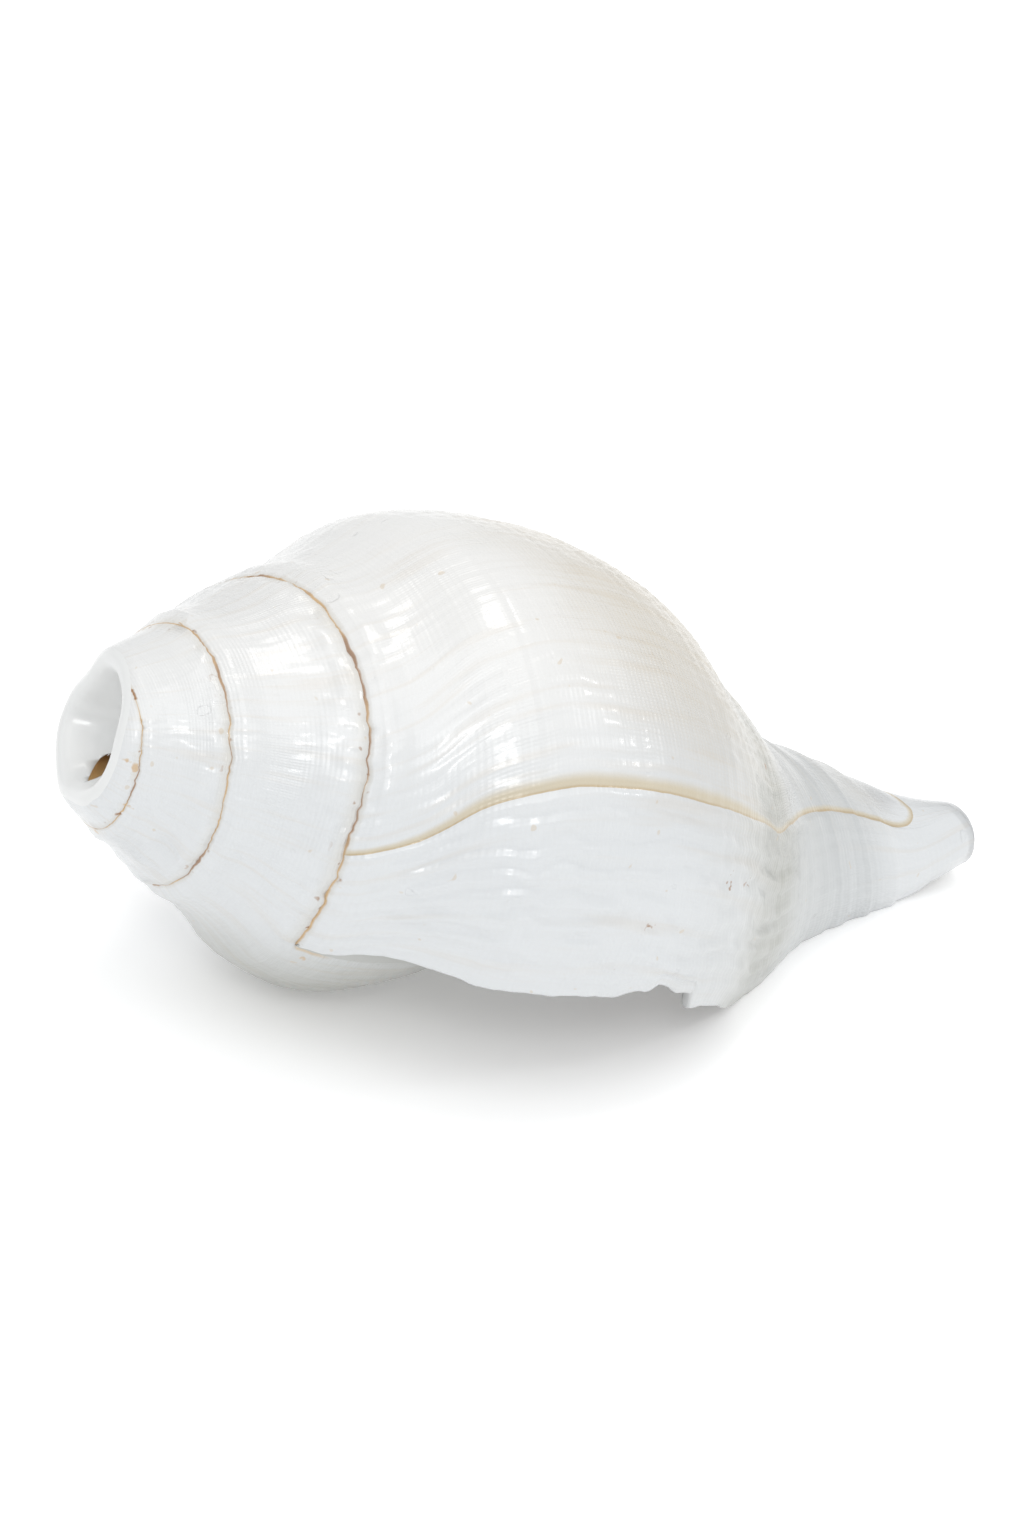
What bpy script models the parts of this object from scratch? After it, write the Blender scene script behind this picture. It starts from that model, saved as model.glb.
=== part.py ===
"""Conch shell: a dextral blowing conch, its tip cut open, lying on the mouth side.

A shell grows at its lip, and each whorl is the one before it made larger by a fixed ratio.
The outside is one profile carried round the axis with that growth. The hollow follows the
same coil from the mouth up to the blow hole, and the two meet in the rounded lip.
Angles are in degrees. A turn of 0 is the lip, and a turn of -360 is one whorl older.
"""
import math

import bmesh
import bpy
import numpy as np
from mathutils import Vector

MM = 0.001

# Growth of the coil
WHORL_GROWTH = 1.476            # size of a whorl over the size of the one before it
LIP_AT = 126.9                  # where the lip stands, from the top towards the front
AXIS_DIP = 16.3                 # how far the axis dips towards the canal
COIL_APEX = (-95.7, 3.9, 53.65)  # where the coil's own apex would be, mm

# Outside of the newest whorl, mm along the axis and mm out from it
SUTURE_X = 52.8
CANAL_TIP_X = 180.0
PROFILE = [(52.8, 29.8), (65.6, 36.0), (74.9, 42.7), (81.5, 44.9), (96.4, 45.9), (111.0, 43.1),
           (121.7, 38.2), (129.8, 31.7), (137.6, 26.0), (145.8, 19.4), (154.9, 14.7),
           (168.4, 9.8), (180.0, 5.4)]
# Growth line at the lip: how far each place on the profile runs ahead of the suture, degrees
LIP_LINE = [(52.8, 0.0), (61.9, -12.3), (69.6, -18.2), (78.1, -21.4), (93.5, -24.5),
            (108.6, -22.8), (120.9, -17.2), (128.6, -5.5), (138.1, 1.0), (148.5, 10.0),
            (161.3, 13.0), (174.3, 8.0), (180.0, 0.0)]
LIP_LINE_SPAN = 90.0            # turn over which the mesh leans into that growth line
# Wander of the last suture along the axis, turn and mm
SUTURE_WANDER = [(-390.0, 0.0), (-360.0, 0.0), (-277.0, 0.6), (-207.0, -0.3), (-157.0, 1.2),
                 (-107.0, 1.9), (-67.0, 1.5), (-37.0, -0.6), (0.0, -0.8), (30.0, 0.0)]
WANDER_REACH = 9.0
# Swelling on which the body whorl lies: turn, place on the profile, reach of each and height
BELLY = (-304.0, 96.0)
BELLY_REACH = (26.0, 14.0)
BELLY_HEIGHT = 2.5
# Neck and canal
NECK_X = 145.8                  # beyond it the canal keeps its length from turn to turn
CANAL_FULLNESS = 0.35           # share of the coil's shrinking that the canal's radius takes
FULLNESS_X = (130.0, 148.0)
TIP_SLANT = 5.4                 # how far the canal's end falls back on its far side
NOSE_LENGTH = 2.5
GUTTER_DEPTH = 0.45             # share of the radius that the canal loses beside its groove
GUTTER_TURNS = (-300.0, -360.0)
GUTTER_X = (132.0, 150.0)
CANAL_RISE = [(120.0, 0.0), (133.0, -0.2), (145.0, 0.9), (155.0, 0.8), (167.0, 1.3), (180.0, 4.0)]

# Hollow
WALL = 4.6                      # wall of the newest whorl once it has grown thick
SLOPE_STEP = 0.4                # how far to each side the wall's slope is measured
LIP_THICKNESS = 1.8
THICKENING_TURN = 100.0         # the wall thickens away from the lip over about this turn
THINNER_AT_CANAL = 0.45         # share of its thickness that the wall loses towards the canal's tip
THINNER_X = (130.0, 180.0)
MOST_OF_GAP = 0.7               # the wall fills no more than this share of the gap to the older whorl
CANAL_CORE = 0.6                # what stands for the older whorl in the canal, as a share of its radius
DEEP_WALL = 1.15                # a whorl that is built over is thicker than the open one
CALLUS = 0.4                    # glaze laid on the older whorl inside the mouth
COLUMELLA_RADIUS = 8.5
LEAST_ROOM = 0.3
HOLLOW_X = (62.5, 147.0)        # ends of the hollow inside, on the profile's scale
HOLLOW_ROUNDING = (8.0, 14.0)
MOUTH_SPAN = (14.0, 75.0)       # turn over which the mouth becomes the hollow, at body and canal
MOUTH_SPAN_X = (105.0, 145.0)
PILLAR_LEANS = 10.0             # within this turn the older whorl's side follows the lip's line too
# Its old end: degrees back from the lip where it narrows, then the middle and radius of the way up
# into the blow hole, mm
NARROWING = (850.0, 960.0)
WAY_ALONG = [(850.0, 34.0), (960.0, 33.0), (1055.0, 25.2)]
WAY_OUT = [(850.0, 8.0), (960.0, 6.0), (1055.0, 4.8)]
WAY_RADIUS = 2.0
HOLLOW_END = 1055.0

# Cut at the tip, mm along the axis and mm out from it
CUT_X = 21.65
CUT_SLOPE = 0.142               # the cut is not square: it runs deeper towards the back
CUT_SLOPE_AT = 285.0            # where it runs deepest, from the top towards the front
BLOW_HOLE = [(-30.0, 0.0), (-30.0, 40.0), (12.0, 40.0), (10.5, 19.0), (6.2, 14.9), (1.7, 12.0),
             (0.4, 10.9), (0.0, 9.7), (0.5, 8.4), (1.8, 7.6), (4.0, 6.9), (6.2, 5.6), (7.4, 3.4),
             (7.8, 0.0)]
CUT_SIDES = 40
SAME_POINT = 0.00001            # m
GROUND_CUTTER = (0.3, 0.2, 0.01)  # m, its top on the ground

# Mesh
COLUMNS = 36                    # in one turn
OLDEST_COLUMN = -141
BAND_ROWS = 6                   # from one suture to the next
BODY_ROWS = 19                  # from there to the canal's tip
NOSE_ROWS = 3
RIM_ROWS = 3
STATIONS = [4.0, 7.0, 12.0, 20.0, 32.0, 46.0, 62.0, 80.0]    # rings of the hollow, degrees back
STATION_STEP = 18.0


def through(points, at):
    """Smooth curve through the points, held level beyond its ends."""
    xs, ys = np.array(points, float).T
    slopes = np.gradient(ys, xs)
    at = np.clip(np.asarray(at, float), xs[0], xs[-1])
    k = np.clip(np.searchsorted(xs, at) - 1, 0, len(xs) - 2)
    width = xs[k + 1] - xs[k]
    t = (at - xs[k]) / width
    rise = ys[k + 1] - ys[k]
    left = slopes[k] * width - rise
    right = rise - slopes[k + 1] * width
    return ys[k] + t * rise + t * (1 - t) * ((1 - t) * left + t * right)


def ease(t):
    t = np.clip(t, 0.0, 1.0)
    return t * t * (3 - 2 * t)


def growth(turn):
    return WHORL_GROWTH ** (np.asarray(turn, float) / 360.0)


def outside(turn, x):
    """Along the axis and out from it, for a place x on the profile at a turn."""
    turn, x = np.broadcast_arrays(np.asarray(turn, float), np.asarray(x, float))
    size = growth(turn)
    along = size * x
    reach = CANAL_TIP_X - NECK_X
    t = np.clip((x - NECK_X) / reach, 0.0, None)
    end = CANAL_TIP_X - TIP_SLANT * np.sin(np.radians(turn) / 2) ** 2
    start = size * NECK_X
    along = np.where(x > NECK_X, start + size * reach * t + (end - start - size * reach) * t * t, along)
    shrink = 1 - (1 - CANAL_FULLNESS) * ease((x - FULLNESS_X[0]) / (FULLNESS_X[1] - FULLNESS_X[0]))
    out = through(PROFILE, x) * (1 - (1 - size) * shrink)
    beside = ease((turn - GUTTER_TURNS[0]) / (GUTTER_TURNS[1] - GUTTER_TURNS[0]))
    out = out * (1 - GUTTER_DEPTH * beside * ease((x - GUTTER_X[0]) / (GUTTER_X[1] - GUTTER_X[0])))
    belly = ((turn - BELLY[0]) / BELLY_REACH[0]) ** 2 + ((x - BELLY[1]) / BELLY_REACH[1]) ** 2
    out = out + BELLY_HEIGHT * np.exp(-belly)
    for whorl in (0, 1):
        later = turn + 360 * whorl
        near = np.exp(-((along - growth(later) * SUTURE_X) / WANDER_REACH) ** 2)
        along = along + near * through(SUTURE_WANDER, later)
    return along, out


def place(along, out, turn):
    """Point in the shell's resting position, in metres."""
    angle = np.radians(np.asarray(turn, float) + LIP_AT)
    rise = out * np.cos(angle) + through(CANAL_RISE, along)
    dip = math.radians(AXIS_DIP)
    x = along * math.cos(dip) + rise * math.sin(dip) + COIL_APEX[0]
    y = -out * np.sin(angle) + COIL_APEX[1]
    z = -along * math.sin(dip) + rise * math.cos(dip) + COIL_APEX[2]
    return np.stack(np.broadcast_arrays(x, y, z), -1) * MM


def lean(turn, x):
    """Turn of a mesh column at x, leaning into the growth line near the lip."""
    return turn + through(LIP_LINE, x) * ease(1 + turn / LIP_LINE_SPAN)


def wall_at(back):
    return LIP_THICKNESS + (WALL - LIP_THICKNESS) * (1 - np.exp(-back / THICKENING_TURN))


def wall_inside(turn, x, back):
    """Inner face of the outer wall: the outside moved in by the wall, back degrees from the lip."""
    along, out = outside(turn, x)
    ahead = outside(turn, np.minimum(x + SLOPE_STEP, CANAL_TIP_X))
    behind = outside(turn, np.maximum(x - SLOPE_STEP, SUTURE_X))
    run, climb = ahead[0] - behind[0], ahead[1] - behind[1]
    length = np.hypot(run, climb)
    thinner = THINNER_AT_CANAL * ease((x - THINNER_X[0]) / (THINNER_X[1] - THINNER_X[0]))
    thick = wall_at(back) * growth(turn) * (1 - thinner)
    older_x = np.minimum(along / growth(turn) * WHORL_GROWTH, CANAL_TIP_X)
    older = np.where(x < NECK_X, through(PROFILE, older_x) * growth(turn) / WHORL_GROWTH, CANAL_CORE * out)
    thick = np.minimum(thick, MOST_OF_GAP * (out - older) * run / length)
    return along + climb / length * thick, out - run / length * thick


def hollow(share, back, outer):
    """Section of the hollow deep inside, mm: up the outer wall, or down the columella."""
    x = HOLLOW_X[0] + (HOLLOW_X[1] - HOLLOW_X[0]) * (1 - np.cos(np.pi * share)) / 2
    older = through(PROFILE, np.minimum(x * WHORL_GROWTH, CANAL_TIP_X)) / WHORL_GROWTH + CALLUS
    out = np.maximum(older, COLUMELLA_RADIUS)
    if outer:
        room = np.maximum(through(PROFILE, x) - DEEP_WALL * wall_at(back) - out, LEAST_ROOM)
        start = np.clip((HOLLOW_X[0] + HOLLOW_ROUNDING[0] - x) / HOLLOW_ROUNDING[0], 0, 1)
        finish = np.clip((x - HOLLOW_X[1] + HOLLOW_ROUNDING[1]) / HOLLOW_ROUNDING[1], 0, 1)
        out = out + room * np.sqrt(1 - start ** 2) * np.sqrt(1 - finish ** 2)
    side = 1 if outer else -1
    narrow = ease((back - NARROWING[0]) / (NARROWING[1] - NARROWING[0]))
    way_along = through(WAY_ALONG, back) - WAY_RADIUS * np.cos(np.pi * share)
    way_out = through(WAY_OUT, back) + side * WAY_RADIUS * np.sin(np.pi * share)
    size = growth(-back)
    return size * x + (way_along - size * x) * narrow, size * out + (way_out - size * out) * narrow


def build_shell():
    mesh = bmesh.new()
    band = SUTURE_X + (WHORL_GROWTH - 1) * SUTURE_X * np.arange(BAND_ROWS + 1) / BAND_ROWS
    body = band[-1] + (CANAL_TIP_X - band[-1]) * np.arange(1, BODY_ROWS + 1) / BODY_ROWS
    rows = np.concatenate([band, body])
    tip = len(rows) - 1
    add = mesh.verts.new

    # Outside: one column of points for each step of growth, joined along the sutures
    columns = {}
    for c in range(OLDEST_COLUMN, 1):
        turn = 360.0 * c / COLUMNS
        newest = c >= -COLUMNS
        xs = rows if newest else rows[:BAND_ROWS]
        turns = lean(turn, xs)
        points = place(*outside(turns, xs), turns)
        columns[c] = [add(p) for p in points]
    for c in range(OLDEST_COLUMN, -COLUMNS):
        columns[c].append(columns[c + COLUMNS][0])
    mesh.verts.remove(columns[-COLUMNS][BAND_ROWS])
    columns[-COLUMNS][BAND_ROWS] = columns[0][0]
    mesh.verts.remove(columns[0][tip])
    columns[0][tip] = columns[-COLUMNS][tip]

    # Nose of the canal, closing on one point
    end = CANAL_TIP_X - TIP_SLANT / 2 + NOSE_LENGTH
    pole = add(place(end, 0.0, 0.0))
    nose = {}
    for c in range(-COLUMNS, 0):
        turn = 360.0 * c / COLUMNS
        along, out = outside(turn, CANAL_TIP_X)
        nose[c] = []
        for n in range(1, NOSE_ROWS):
            lift = math.radians(90.0 * n / NOSE_ROWS)
            nose[c].append(add(place(along + (end - along) * math.sin(lift), out * math.cos(lift), turn)))
    nose[0] = nose[-COLUMNS]

    def quad(a, b, c, d):
        corners = []
        for v in (a, b, c, d):
            if v not in corners:
                corners.append(v)
        if len(corners) > 2:
            mesh.faces.new(corners)

    for c in range(OLDEST_COLUMN, 0):
        here, there = columns[c], columns[c + 1]
        for r in range(min(len(here), len(there)) - 1):
            quad(here[r], there[r], there[r + 1], here[r + 1])
    for c in range(-COLUMNS, 0):
        here = [columns[c][tip]] + nose[c]
        there = [columns[c + 1][tip]] + nose[c + 1]
        for r in range(NOSE_ROWS - 1):
            quad(here[r], there[r], there[r + 1], here[r + 1])
        quad(here[-1], there[-1], pole, pole)

    # Oldest end, closed across the axis and later cut away
    first = [columns[c][0] for c in range(OLDEST_COLUMN, OLDEST_COLUMN + COLUMNS)]
    first += columns[OLDEST_COLUMN][:0:-1]
    hub = add(place(growth(360.0 * OLDEST_COLUMN / COLUMNS) * SUTURE_X, 0.0, 0.0))
    for a, b in zip(first, first[1:] + first[:1]):
        quad(b, a, hub, hub)

    # Rounded lip, from the outside over to the inner face of the wall
    lip = columns[0]
    xs = rows[1:tip]
    turns = lean(0.0, xs)
    outer = place(*outside(turns, xs), turns)
    inner = place(*wall_inside(turns, xs, 0.0), turns)
    ahead = place(*outside(turns + 1.0, xs), turns + 1.0) - outer
    ahead /= np.linalg.norm(ahead, axis=1)[:, None]
    centre, half = (outer + inner) / 2, (outer - inner) / 2
    thick = np.linalg.norm(half, axis=1)[:, None]
    rim = [lip]
    for n in range(1, RIM_ROWS + 1):
        turned = math.pi * n / RIM_ROWS
        points = centre + half * math.cos(turned) + ahead * thick * math.sin(turned)
        rim.append([lip[0]] + [add(p) for p in points] + [lip[tip]])
    for near, far in zip(rim, rim[1:]):
        for r in range(tip):
            quad(near[r + 1], near[r], far[r], far[r + 1])

    # Hollow: rings from the mouth inwards, up the outer wall and back down the columella
    def ring(back):
        reach = ease((rows - MOUTH_SPAN_X[0]) / (MOUTH_SPAN_X[1] - MOUTH_SPAN_X[0]))
        mix = ease(back / (MOUTH_SPAN[0] + (MOUTH_SPAN[1] - MOUTH_SPAN[0]) * reach))
        up = np.arange(tip + 1) / tip
        turns = lean(-back, rows)
        for _ in range(2):
            along, out = wall_inside(turns, rows, back)
            deep = hollow(up, -turns, True)
            along, out = along + (deep[0] - along) * mix, out + (deep[1] - out) * mix
            wall = place(along, out, turns)
            turns = lean(-back, along / growth(turns))
        low = rows[BAND_ROWS:]
        mix = mix[BAND_ROWS:]
        down = np.arange(len(low)) / (len(low) - 1)
        turns = np.full(len(low), -back)
        for _ in range(2):
            along, out = outside(turns - 360.0, low)
            deep = hollow(down, -turns, False)
            along, out = along + (deep[0] - along) * mix, out + (deep[1] - out) * mix
            pillar = place(along, out, turns)
            turns = (lean(-back, along / growth(turns)) + back) * ease(back / PILLAR_LEANS) - back
        return [add(p) for p in list(wall) + list(pillar[-2:0:-1])]

    mouth = rim[-1] + columns[-COLUMNS][tip - 1:BAND_ROWS:-1]
    backs = STATIONS + list(np.arange(STATIONS[-1] + STATION_STEP, HOLLOW_END + 1.0, STATION_STEP))
    previous = mouth
    for back in backs:
        inside = ring(back)
        count = len(inside)
        for r in range(count):
            s = (r + 1) % count
            quad(previous[s], previous[r], inside[r], inside[s])
        previous = inside
    mesh.faces.new(previous[::-1])

    data = bpy.data.meshes.new("shell")
    mesh.to_mesh(data)
    mesh.free()
    return data


def build_blow_hole():
    """Cutter for the tip: it leaves a rounded rim and a smooth bowl, turned about the axis."""
    mesh = bmesh.new()
    turn = 180.0 / CUT_SIDES
    points = [mesh.verts.new(place(CUT_X + x, r, turn)) for x, r in BLOW_HOLE]
    edges = [mesh.edges.new(pair) for pair in zip(points, points[1:])]
    ends = place(np.array([0.0, SUTURE_X]), 0.0, 0.0)
    bmesh.ops.spin(mesh, geom=points + edges, cent=ends[0], axis=ends[1] - ends[0],
                   angle=math.tau, steps=CUT_SIDES, use_merge=True)
    bmesh.ops.remove_doubles(mesh, verts=mesh.verts[:], dist=SAME_POINT)
    axis = Vector(ends[1] - ends[0]).normalized()
    deepest = Vector(place(0.0, 1.0, CUT_SLOPE_AT - LIP_AT) - ends[0]).normalized()
    for v in mesh.verts:
        v.co += axis * CUT_SLOPE * deepest.dot(v.co - Vector(ends[0]))
    bmesh.ops.recalc_face_normals(mesh, faces=mesh.faces[:])
    data = bpy.data.meshes.new("blow_hole")
    mesh.to_mesh(data)
    mesh.free()
    return data


def build_ground():
    """Cutter under the shell: it wears small flats where the shell lies."""
    mesh = bmesh.new()
    bmesh.ops.create_cube(mesh, size=1.0)
    bmesh.ops.scale(mesh, vec=GROUND_CUTTER, verts=mesh.verts[:])
    bmesh.ops.translate(mesh, vec=(0.0, 0.0, -GROUND_CUTTER[2] / 2), verts=mesh.verts[:])
    data = bpy.data.meshes.new("ground")
    mesh.to_mesh(data)
    mesh.free()
    return data


def add_object(name, data):
    thing = bpy.data.objects.new(name, data)
    bpy.context.scene.collection.objects.link(thing)
    return thing


def cut(thing, name, data):
    cutter = add_object(name, data)
    cutter.hide_render = True
    cutter.display_type = "WIRE"
    tool = thing.modifiers.new(name, "BOOLEAN")
    tool.operation = "DIFFERENCE"
    tool.solver = "EXACT"
    tool.object = cutter


def porcelain_white():
    material = bpy.data.materials.new("shell")
    material.use_nodes = True
    finish = material.node_tree.nodes["Principled BSDF"]
    finish.inputs["Base Color"].default_value = (0.86, 0.86, 0.84, 1.0)
    finish.inputs["Roughness"].default_value = 0.25
    finish.inputs["Metallic"].default_value = 0.0
    return material


for old in list(bpy.data.objects):
    bpy.data.objects.remove(old, do_unlink=True)

shell = add_object("shell", build_shell())
shell.data.materials.append(porcelain_white())
shell.data.shade_smooth()
cut(shell, "blow_hole", build_blow_hole())
cut(shell, "ground", build_ground())
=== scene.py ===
import math

import bmesh
import bpy
import numpy as np
from mathutils import Matrix, Vector, noise


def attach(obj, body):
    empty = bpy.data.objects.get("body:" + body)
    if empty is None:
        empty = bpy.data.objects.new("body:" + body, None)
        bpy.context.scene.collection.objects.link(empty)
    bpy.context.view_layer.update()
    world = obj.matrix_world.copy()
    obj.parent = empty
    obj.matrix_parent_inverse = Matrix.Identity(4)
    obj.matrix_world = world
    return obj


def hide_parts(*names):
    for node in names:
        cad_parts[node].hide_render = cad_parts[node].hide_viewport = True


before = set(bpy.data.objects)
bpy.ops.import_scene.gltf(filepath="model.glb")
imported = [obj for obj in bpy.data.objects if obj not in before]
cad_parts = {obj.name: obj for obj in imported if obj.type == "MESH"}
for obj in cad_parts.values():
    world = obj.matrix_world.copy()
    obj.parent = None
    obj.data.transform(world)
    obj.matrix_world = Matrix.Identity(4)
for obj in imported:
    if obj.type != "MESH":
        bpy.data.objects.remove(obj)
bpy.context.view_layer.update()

# The view: a long lens from the front left and above, tilted a little, as in the photograph.
# The shell lies across the middle of an upright frame. The numbers fit its outlines there.
MM = 0.001
COIL_APEX = np.array([-95.7, 3.9, 53.65])       # where the coil's own apex would be
LOOKED_AT = COIL_APEX + (91.63, 0.0, -26.85)
CAMERA_BACK = 851.06                            # from there to the camera
CAMERA_AXES = Matrix(((0.87847, 0.12968, -0.45987),
                      (-0.45819, 0.50153, -0.73384),
                      (0.13548, 0.85536, 0.5)))
IMAGE_WIDE, IMAGE_HIGH = 1024, 1536
FOCUS = 5767.55                                 # in pixels of the photograph
LOOKED_AT_PIXEL = (512.8, 790.0)
SENSOR = 36.0


def put(name, data):
    """New object in the scene."""
    made = bpy.data.objects.new(name, data)
    bpy.context.scene.collection.objects.link(made)
    return made


camera = put("camera", bpy.data.cameras.new("camera"))
camera_spot = Vector(LOOKED_AT * MM) + CAMERA_AXES.col[2] * CAMERA_BACK * MM
camera.matrix_world = Matrix.Translation(camera_spot) @ CAMERA_AXES.to_4x4()
camera.data.sensor_width = SENSOR
camera.data.lens = SENSOR * FOCUS / IMAGE_HIGH
camera.data.shift_x = (IMAGE_WIDE / 2 - LOOKED_AT_PIXEL[0]) / IMAGE_HIGH
camera.data.shift_y = (LOOKED_AT_PIXEL[1] - IMAGE_HIGH / 2) / IMAGE_HIGH
camera.data.clip_start = 0.05
camera.data.clip_end = 20.0
bpy.context.scene.camera = camera

# The ground: a plain pale sheet, matt, that reaches past the frame on every side. It glows a
# little, as a backdrop that is lit from behind does, so the shell lies on near white.
FLOOR_HALF = 4.0
FLOOR_WHITE = (0.88, 0.88, 0.88, 1.0)
FLOOR_GLOW = 0.22


def put_mesh(name, form):
    """New object with the faces of a bmesh, which is then freed."""
    data = bpy.data.meshes.new(name)
    form.to_mesh(data)
    form.free()
    return put(name, data)


floor_mesh = bmesh.new()
bmesh.ops.create_grid(floor_mesh, x_segments=2, y_segments=2, size=FLOOR_HALF)
floor = put_mesh("floor", floor_mesh)
pale = bpy.data.materials.new("floor")
pale.use_nodes = True
paper = pale.node_tree.nodes["Principled BSDF"]
paper.inputs["Base Color"].default_value = FLOOR_WHITE
paper.inputs["Emission Color"].default_value = (1.0, 1.0, 1.0, 1.0)
paper.inputs["Emission Strength"].default_value = FLOOR_GLOW
paper.inputs["Roughness"].default_value = 0.9
paper.inputs["Specular IOR Level"].default_value = 0.1
floor.data.materials.append(pale)

# The light: a white room with a wide soft box in front. Three small soft boxes, overhead, at the
# front left and at the right, make the highlights on the polish.
ROOM_WHITE = (0.98, 0.992, 1.0, 1.0)
ROOM_LIGHT = 0.87
LIT_SPOT = Vector((0.0, 0.0, 0.04))

bpy.context.scene.view_settings.view_transform = "Standard"
room = bpy.data.worlds.new("room")
bpy.context.scene.world = room
room.use_nodes = True
room.node_tree.nodes["Background"].inputs["Color"].default_value = ROOM_WHITE
room.node_tree.nodes["Background"].inputs["Strength"].default_value = ROOM_LIGHT


def soft_box(name, azimuth, elevation, away, wide, deep, watts, colour=(1.0, 1.0, 1.0)):
    """Light that faces the shell, from an azimuth counted from the front to the right."""
    light = bpy.data.lights.new(name, "AREA")
    light.shape = "ELLIPSE"
    light.size = wide
    light.size_y = deep
    light.energy = watts
    light.color = colour
    lamp = put(name, light)
    a, e = math.radians(azimuth), math.radians(elevation)
    side = Vector((math.sin(a) * math.cos(e), -math.cos(a) * math.cos(e), math.sin(e)))
    lamp.location = LIT_SPOT + side * away
    lamp.rotation_euler = side.to_track_quat("Z", "Y").to_euler()


soft_box("light_over", 150.0, 79.0, 1.1, 0.42, 0.42, 2.2, (1.0, 0.97, 0.94))
soft_box("light_front", -31.0, 39.0, 1.2, 0.24, 0.28, 1.8)
soft_box("light_right", 60.0, 37.0, 1.2, 0.16, 0.18, 0.9)
soft_box("light_wide", -25.0, 60.0, 1.5, 1.6, 1.2, 4.6)

# The coil: one profile carried round the axis, each whorl larger than the last by a fixed ratio.
# A shell is laid down in thin layers of lime at its lip, so every form on it follows that growth.
# Lengths are in mm and angles in degrees: a turn of 0 is the lip, and -360 is one whorl older.
WHORL_GROWTH = 1.476
LIP_AT = 126.9                  # where the lip stands, from the top towards the front
AXIS_DIP = 16.3
SUTURE_X = 52.8
CANAL_TIP_X = 180.0
PROFILE = [(52.8, 29.8), (65.6, 36.0), (74.9, 42.7), (81.5, 44.9), (96.4, 45.9), (111.0, 43.1),
           (121.7, 38.2), (129.8, 31.7), (137.6, 26.0), (145.8, 19.4), (154.9, 14.7),
           (168.4, 9.8), (180.0, 5.4)]
# Growth lines: how far each place on the profile runs ahead of the seam
LIP_LINE = [(52.8, 0.0), (61.9, -12.3), (69.6, -18.2), (78.1, -21.4), (93.5, -24.5),
            (108.6, -22.8), (120.9, -17.5), (128.6, -7.0), (138.1, 1.0), (148.5, 10.0),
            (161.3, 13.0), (174.3, 8.0), (180.0, 0.0)]
PAUSE_LINE = [(52.8, 0.0), (61.9, -9.5), (69.6, -21.0), (78.1, -26.6), (93.5, -29.2),
              (108.6, -28.5), (120.9, -27.0), (128.6, -25.7), (133.5, -24.4), (138.1, -27.5),
              (148.5, -34.6), (161.3, -39.7), (174.3, -44.1), (180.0, -66.6)]
PAUSE_AT = -36.7                # the growth pause that shows as a gold line
PAUSE_LINE_SPAN = 110.0
# How the seam strays from the plain coil, and how far off it the surface goes along with it
SUTURE_WANDER = [(-390.0, 0.0), (-360.0, 0.0), (-277.0, 0.6), (-207.0, -0.3), (-157.0, 1.2),
                 (-107.0, 1.9), (-67.0, 1.5), (-37.0, -0.6), (0.0, -0.8), (30.0, 0.0)]
WANDER_REACH = 9.0
BELLY = (-304.0, 96.0)          # turn and x of the swelling that the shell lies on
BELLY_REACH = (26.0, 14.0)
BELLY_HEIGHT = 2.5
# The canal keeps its length, is slimmer in older turns, and has its groove beside the pillar
NECK_X = 145.8
CANAL_FULLNESS = 0.35
FULLNESS_X = (130.0, 148.0)
TIP_SLANT = 5.4
NOSE_LENGTH = 2.5
GUTTER_DEPTH = 0.45
GUTTER_TURNS = (-300.0, -360.0)
GUTTER_X = (132.0, 150.0)
CANAL_RISE = [(120.0, 0.0), (133.0, -0.2), (145.0, 0.9), (155.0, 0.8), (167.0, 1.3), (180.0, 4.0)]


def through(points, at):
    """Smooth curve through the points, held level beyond its ends."""
    xs, ys = np.array(points, float).T
    slopes = np.gradient(ys, xs)
    at = np.clip(np.asarray(at, float), xs[0], xs[-1])
    k = np.clip(np.searchsorted(xs, at) - 1, 0, len(xs) - 2)
    width = xs[k + 1] - xs[k]
    t = (at - xs[k]) / width
    rise = ys[k + 1] - ys[k]
    left = slopes[k] * width - rise
    right = rise - slopes[k + 1] * width
    return ys[k] + t * rise + t * (1 - t) * ((1 - t) * left + t * right)


def ease(t):
    t = np.clip(t, 0.0, 1.0)
    return t * t * (3 - 2 * t)


def between(value, start, end):
    """0 at start, easing to 1 at end."""
    return ease((value - start) / (end - start))


def hump(at, middle, reach):
    return np.exp(-((at - middle) / reach) ** 2)


def growth(turn):
    return WHORL_GROWTH ** (np.asarray(turn, float) / 360.0)


def outside(turn, x):
    """Along the axis and out from it, for a place x on the profile at a turn."""
    turn, x = np.broadcast_arrays(np.asarray(turn, float), np.asarray(x, float))
    size = growth(turn)
    along = size * x
    reach = CANAL_TIP_X - NECK_X
    t = np.clip((x - NECK_X) / reach, 0.0, None)
    end = CANAL_TIP_X - TIP_SLANT * np.sin(np.radians(turn) / 2) ** 2
    start = size * NECK_X
    along = np.where(x > NECK_X, start + size * reach * t + (end - start - size * reach) * t * t, along)
    shrink = 1 - (1 - CANAL_FULLNESS) * between(x, *FULLNESS_X)
    out = through(PROFILE, x) * (1 - (1 - size) * shrink)
    out = out * (1 - GUTTER_DEPTH * between(turn, *GUTTER_TURNS) * between(x, *GUTTER_X))
    belly = ((turn - BELLY[0]) / BELLY_REACH[0]) ** 2 + ((x - BELLY[1]) / BELLY_REACH[1]) ** 2
    out = out + BELLY_HEIGHT * np.exp(-belly)
    for whorl in (0, 1):
        later = turn + 360 * whorl
        near = hump(along, growth(later) * SUTURE_X, WANDER_REACH)
        along = along + near * through(SUTURE_WANDER, later)
    return along, out


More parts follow.
